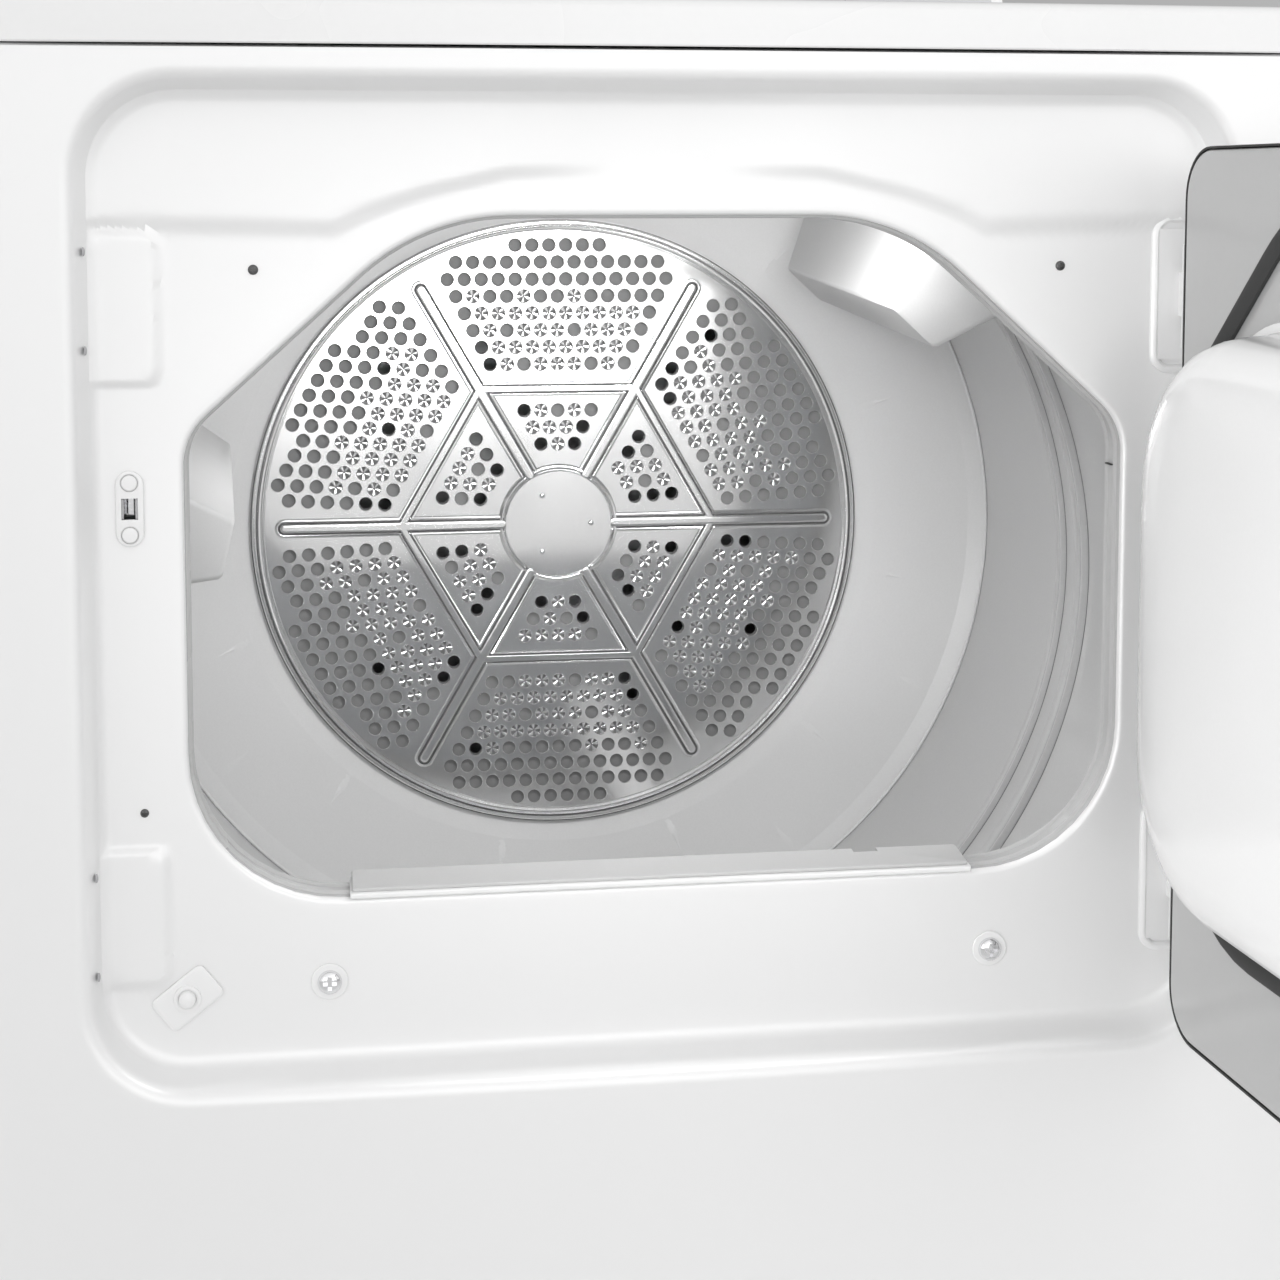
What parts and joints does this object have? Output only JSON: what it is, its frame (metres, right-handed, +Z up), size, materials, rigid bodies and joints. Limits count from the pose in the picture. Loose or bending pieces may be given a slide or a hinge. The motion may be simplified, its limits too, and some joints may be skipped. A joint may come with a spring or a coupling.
{
  "type": "clothes dryer",
  "caption": "Free-standing side-swing clothes dryer with its door open: steel cabinet, rear console, round drum with lifters and a perforated back, lint screen and belt drive.",
  "frame": {"origin": "middle of the footprint of the whole dryer with its door open, on the floor", "axes": "+Z up, +Y from the front towards the back, +X to the right of someone facing the front"},
  "size_m": [0.737, 1.3023, 1.092],
  "materials": {
    "white_enamel": "gloss white enamel on sheet steel",
    "grey_enamel": "satin grey powder coat",
    "zinc_steel": "galvanised sheet steel",
    "bright_steel": "bright polished steel",
    "motor_metal": null,
    "white_plastic": "moulded white plastic",
    "grey_plastic": "moulded grey plastic",
    "black_rubber": "matte black rubber",
    "felt": "pressed wool felt",
    "heater_wire": "oxidised resistance wire"
  },
  "bodies": {
    "cabinet": {"front_panel": "white_enamel", "top_panel": "white_enamel", "side_panel_left": "white_enamel", "side_panel_right": "white_enamel", "console_body": "white_enamel", "lower_hinge_leaf": "white_enamel", "upper_hinge_leaf": "white_enamel", "base_pan": "zinc_steel", "rear_panel": "zinc_steel", "front_bulkhead": "zinc_steel", "rear_air_duct": "zinc_steel", "heater_housing": "zinc_steel", "exhaust_pipe": "zinc_steel", "motor_bracket": "zinc_steel", "terminal_cover": "zinc_steel", "duct_screw_left": "bright_steel", "duct_screw_right": "bright_steel", "door_catch": "bright_steel", "motor_housing": "motor_metal", "console_fascia": "white_plastic", "sill_trim": "white_plastic", "catch_plate": "white_plastic", "door_switch_plate": "white_plastic", "lint_duct": "grey_plastic", "blower_housing": "grey_plastic", "rear_bearing": "grey_plastic", "cycle_timer": "grey_plastic", "drive_belt": "black_rubber", "foot_front_left": "black_rubber", "foot_front_right": "black_rubber", "foot_rear_left": "black_rubber", "foot_rear_right": "black_rubber", "front_drum_seal": "felt", "rear_drum_seal": "felt", "heating_element": "heater_wire"},
    "drum": {"drum_shell": "grey_enamel", "drum_back": "grey_enamel", "air_diffuser": "bright_steel", "drum_lifter_1": "grey_plastic", "drum_lifter_2": "grey_plastic", "drum_lifter_3": "grey_plastic", "drum_shaft": "bright_steel"},
    "motor_rotor": {"motor_shaft": "bright_steel", "blower_wheel": "white_plastic"},
    "idler_arm": {"idler_arm": "zinc_steel"},
    "idler_pulley": {"idler_pulley": "white_plastic"},
    "lint_screen": {"lint_screen": "grey_plastic"},
    "door": {"door_outer": "white_enamel", "door_inner": "white_enamel", "door_dish": "white_plastic", "door_seal": "black_rubber", "door_strike": "bright_steel", "door_pull": "grey_plastic", "lower_door_leaf": "white_enamel", "upper_door_leaf": "white_enamel"},
    "switch_plunger": {"door_switch_plunger": "white_plastic"},
    "cycle_knob": {"cycle_knob": "white_plastic"},
    "temperature_knob": {"temperature_knob": "white_plastic"},
    "start_button": {"start_button": "white_plastic"}
  },
  "joints": [
    {"name": "door_hinge", "type": "hinge", "parent": "cabinet", "child": "door", "pos_m": [0.287, -0.06758, 0.594], "axis": [0, 0, 1], "range_deg": [-93.6, 0.5]},
    {"name": "drum_spin", "type": "hinge", "parent": "cabinet", "child": "drum", "pos_m": [0, 0.22142, 0.555], "axis": [0, 1, 0], "continuous": true},
    {"name": "motor_spin", "type": "hinge", "parent": "cabinet", "child": "motor_rotor", "pos_m": [-0.1, 0.13142, 0.125], "axis": [0, 1, 0], "continuous": true},
    {"name": "idler_arm_swing", "type": "hinge", "parent": "cabinet", "child": "idler_arm", "pos_m": [-0.262, 0.24692, 0.062], "axis": [0, 1, 0], "range_deg": [-8, 0], "stiffness_Nm_per_rad": 8, "springref_deg": 11.46},
    {"name": "idler_pulley_spin", "type": "hinge", "parent": "idler_arm", "child": "idler_pulley", "pos_m": [-0.18885, 0.25442, 0.19097], "axis": [0, 1, 0], "continuous": true},
    {"name": "lint_screen_slide", "type": "slide", "parent": "cabinet", "child": "lint_screen", "axis": [0, 0, 1], "range_m": [0, 0.26]},
    {"name": "door_switch_press", "type": "slide", "parent": "cabinet", "child": "switch_plunger", "axis": [0, 1, 0], "range_m": [0, 0.004], "stiffness_N_per_m": 200, "springref_m": -0.002},
    {"name": "cycle_knob_turn", "type": "hinge", "parent": "cabinet", "child": "cycle_knob", "pos_m": [0.215, 0.53439, 0.99712], "axis": [0, -0.972, 0.2349], "continuous": true},
    {"name": "temperature_knob_turn", "type": "hinge", "parent": "cabinet", "child": "temperature_knob", "pos_m": [0.02, 0.53439, 0.99712], "axis": [0, -0.972, 0.2349], "range_deg": [-135, 135]},
    {"name": "start_button_press", "type": "slide", "parent": "cabinet", "child": "start_button", "axis": [0, 0.972, -0.2349], "range_m": [0, 0.0035], "stiffness_N_per_m": 400, "springref_m": -0.002}
  ],
  "couplings": [
    {"joint": "motor_spin", "follows": "drum_spin", "ratio": 28.083},
    {"joint": "idler_pulley_spin", "follows": "drum_spin", "ratio": -16.85}
  ]
}
